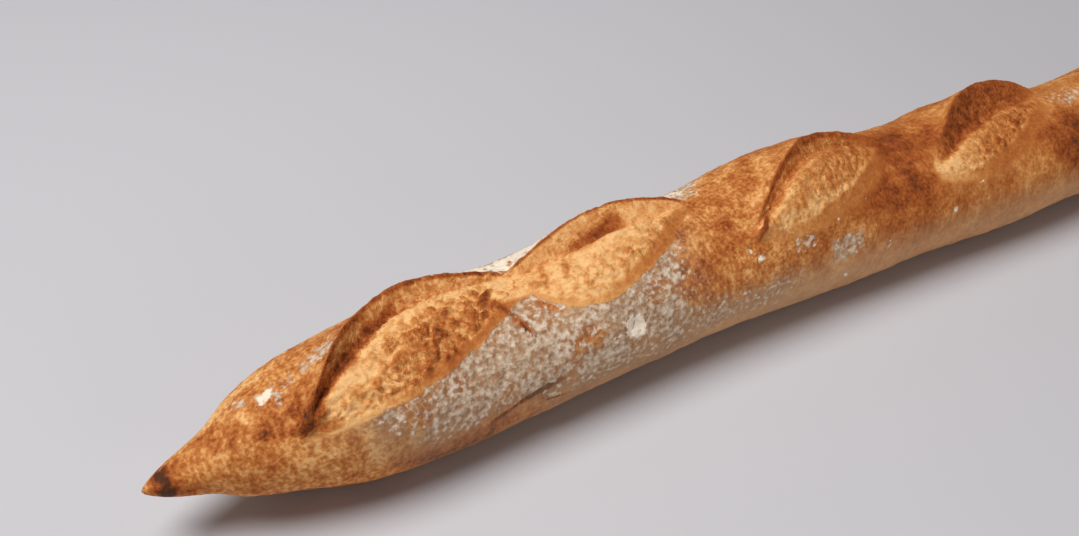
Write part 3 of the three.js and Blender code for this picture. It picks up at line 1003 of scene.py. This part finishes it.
def bread_material():
    """Baked crust, torn crumb and flour, told apart by the mesh's attributes."""
    n = Nodes("bread")
    noises = SimpleNamespace(**{name: n.noise(**settings) for name, settings in PATTERNS.items()})
    strands = n.veins(noises.strands, STRANDS["width"])
    noises.strands = n.times(strands, n.spread(noises.blotch, *STRANDS["shows"]))
    crumb = n.attribute("crumb")
    change = n.blend(crumb, crust_change(n, noises), crumb_change(n, noises))
    pale = n.times(n.attribute("pale"), n.spread(noises.mottle, *PALE_SHOWS))
    cover = flour_cover(n, noises)
    lies = flour_lies(n, cover)
    colour = n.ramp(n.total(n.attribute("tone"), change), TONES)
    colour = n.mix(pale, colour, PALE_COLOUR)
    # thin flour over crust, partly painted shade
    colour = n.mix(n.times(n.attribute("film_and_shade"), FILM_AND_SHADE_SHOWS), colour, FILM_AND_SHADE_COLOUR)
    colour = n.mix(lies, colour, n.ramp(cover, FLOUR_COLOURS))
    colour = n.mix(flour_heaped(n, cover), colour, THICK_COLOUR)
    n.join(colour, n.shader.inputs["Base Color"])
    n.join(n.spread(noises.mottle, *ROUGHNESS), n.shader.inputs["Roughness"])
    n.shader.inputs["Specular IOR Level"].default_value = SPECULAR
    n.bump(bread_height(n, noises, crumb, lies), **BUMP)
    return n.material


def floor_material():
    n = Nodes("floor")
    n.shader.inputs["Base Color"].default_value = (*FLOOR_COLOUR, 1)
    n.shader.inputs["Roughness"].default_value = FLOOR_ROUGHNESS
    n.shader.inputs["Specular IOR Level"].default_value = FLOOR_SPECULAR
    return n.material


def add_floor():
    mesh = bpy.data.meshes.new("floor")
    reach = FLOOR_REACH
    corners = [(-reach, -reach, 0), (reach, -reach, 0), (reach, reach, 0), (-reach, reach, 0)]
    mesh.from_pydata(corners, [], [(0, 1, 2, 3)])
    floor = bpy.data.objects.new("floor", mesh)
    bpy.context.scene.collection.objects.link(floor)
    mesh.materials.append(floor_material())


def direction(azimuth, elevation):
    """Unit vector; azimuth runs from +Y towards -X."""
    azimuth, elevation = math.radians(azimuth), math.radians(elevation)
    flat = math.cos(elevation)
    return Vector((-math.sin(azimuth) * flat, math.cos(azimuth) * flat, math.sin(elevation)))


def add_camera(shift):
    data = bpy.data.cameras.new("camera")
    data.lens = CAMERA_LENS
    data.sensor_width = CAMERA_SENSOR
    data.clip_start = CAMERA_NEAREST
    camera = bpy.data.objects.new("camera", data)
    forward = direction(-CAMERA_AZIMUTH, -CAMERA_ELEVATION)
    camera.rotation_euler = forward.to_track_quat("-Z", "Y").to_euler()
    camera.location = (Vector(CAMERA_AT) + Vector((0, shift, 0))) / PER_METRE
    bpy.context.scene.collection.objects.link(camera)
    bpy.context.scene.camera = camera


def add_light(name, azimuth, elevation, distance, size, power):
    data = bpy.data.lights.new(name, "AREA")
    data.shape = "DISK"
    data.size = size
    data.energy = power
    light = bpy.data.objects.new(name, data)
    towards = direction(azimuth, elevation)
    light.location = distance * towards
    light.rotation_euler = towards.to_track_quat("Z", "Y").to_euler()
    bpy.context.scene.collection.objects.link(light)


def add_sky():
    world = bpy.data.worlds.new("sky")
    world.use_nodes = True
    world.node_tree.nodes["Background"].inputs["Color"].default_value = (*SKY, 1)
    bpy.context.scene.world = world


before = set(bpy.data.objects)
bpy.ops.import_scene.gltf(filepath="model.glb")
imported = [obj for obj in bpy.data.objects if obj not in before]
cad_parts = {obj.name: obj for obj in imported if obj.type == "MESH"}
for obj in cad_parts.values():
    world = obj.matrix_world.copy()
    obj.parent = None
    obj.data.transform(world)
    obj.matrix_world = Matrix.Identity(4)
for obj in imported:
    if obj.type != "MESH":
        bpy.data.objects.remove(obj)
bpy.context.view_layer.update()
bpy.context.scene.view_settings.view_transform = "Standard"

loaf_points, loaf_shows, loaf_shift = build_loaf()
loaf = add_loaf(loaf_points, loaf_shows)
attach(loaf, "root")
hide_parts("baguette")

add_floor()
add_camera(loaf_shift)
add_light("key", **KEY)
add_light("fill", **FILL)
add_sky()
